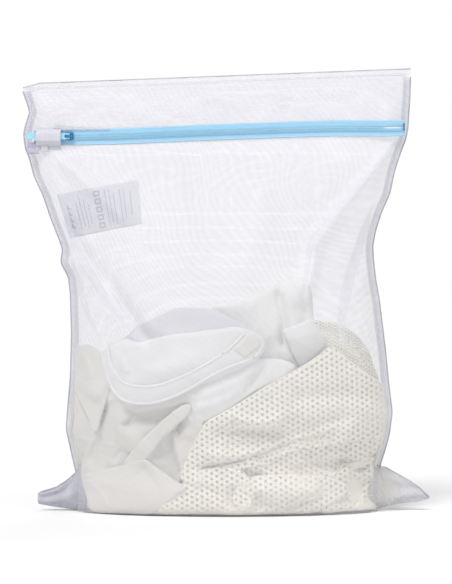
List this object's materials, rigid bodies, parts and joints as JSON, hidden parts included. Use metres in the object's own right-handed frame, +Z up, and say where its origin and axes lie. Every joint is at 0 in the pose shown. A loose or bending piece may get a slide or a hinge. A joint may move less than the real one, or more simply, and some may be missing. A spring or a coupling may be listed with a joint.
{
  "type": "mesh laundry bag",
  "caption": "Sheer mesh laundry bag with a zip mouth near the top, a slider with a pull tab under an elastic band, an inner care label and a load of light washing.",
  "frame": {"origin": "on the floor, under the middle of the bag", "axes": "+X across the bag to the right as seen from the front, -Y out of the front with the zip, +Z up"},
  "size_m": [0.42, 0.1912, 0.4556],
  "materials": {
    "mesh_cloth": "matte",
    "seam_band": "matte",
    "zip_tape": "matte",
    "zip_coil": "satin",
    "slider_paint": "gloss",
    "pull_paint": "gloss",
    "elastic": "matte",
    "label_ribbon": "satin",
    "thread": "matte",
    "white_cotton": "matte",
    "cream_cotton": "matte",
    "cream_knit": "matte",
    "grey_terry": "matte"
  },
  "bodies": {
    "bag": {"front_panel": "mesh_cloth", "back_panel": "mesh_cloth", "front_strip_left_end": "mesh_cloth", "front_strip_right_end": "mesh_cloth", "side_seam_left": "seam_band", "side_seam_right": "seam_band", "top_hem": "seam_band", "bottom_seam": "seam_band", "bottom_corner_left": "seam_band", "bottom_corner_right": "seam_band", "zip_tape_lower": "zip_tape", "zip_tape_upper_left_end": "zip_tape", "zip_tape_upper_right_end": "zip_tape", "zip_coil_lower": "zip_coil", "zip_coil_upper_left_end": "zip_coil", "zip_coil_upper_right_end": "zip_coil", "zip_end_stop": "zip_coil", "garage_band": "elastic", "zip_end_patch": "seam_band", "zip_stitches_lower": "thread", "top_hem_stitches": "thread", "side_stitches_left": "thread", "side_stitches_right": "thread", "garage_band_stitches": "thread", "cream_cotton": "cream_cotton", "cream_knit": "cream_knit", "white_shirt": "white_cotton", "grey_towel": "grey_terry", "perforated_cloth": "cream_knit"},
    "flap": {"front_strip": "mesh_cloth", "zip_tape_upper": "zip_tape", "zip_coil_upper": "zip_coil", "zip_stitches_upper": "thread"},
    "slider": {"zip_slider": "slider_paint"},
    "pull": {"zip_pull_tab": "pull_paint"},
    "label": {"care_label": "label_ribbon"}
  },
  "joints": [
    {"name": "zip_slide", "type": "slide", "parent": "bag", "child": "slider", "axis": [0.9996, 0, 0.0283], "range_m": [0, 0.334]},
    {"name": "pull_turn", "type": "hinge", "parent": "slider", "child": "pull", "pos_m": [-0.161, -0.018, 0.38544], "axis": [0, 0, 1], "range_deg": [0, 175], "deforming": ["garage_band"]},
    {"name": "mouth_flap", "type": "hinge", "parent": "bag", "child": "flap", "pos_m": [0, -0.0013, 0.4413], "axis": [-0.9993, 0, -0.038], "range_deg": [0, 65]},
    {"name": "label_swing", "type": "hinge", "parent": "bag", "child": "label", "pos_m": [-0.174, -0.009, 0.326], "axis": [-0.2873, 0, 0.9578], "range_deg": [0, 35]}
  ]
}
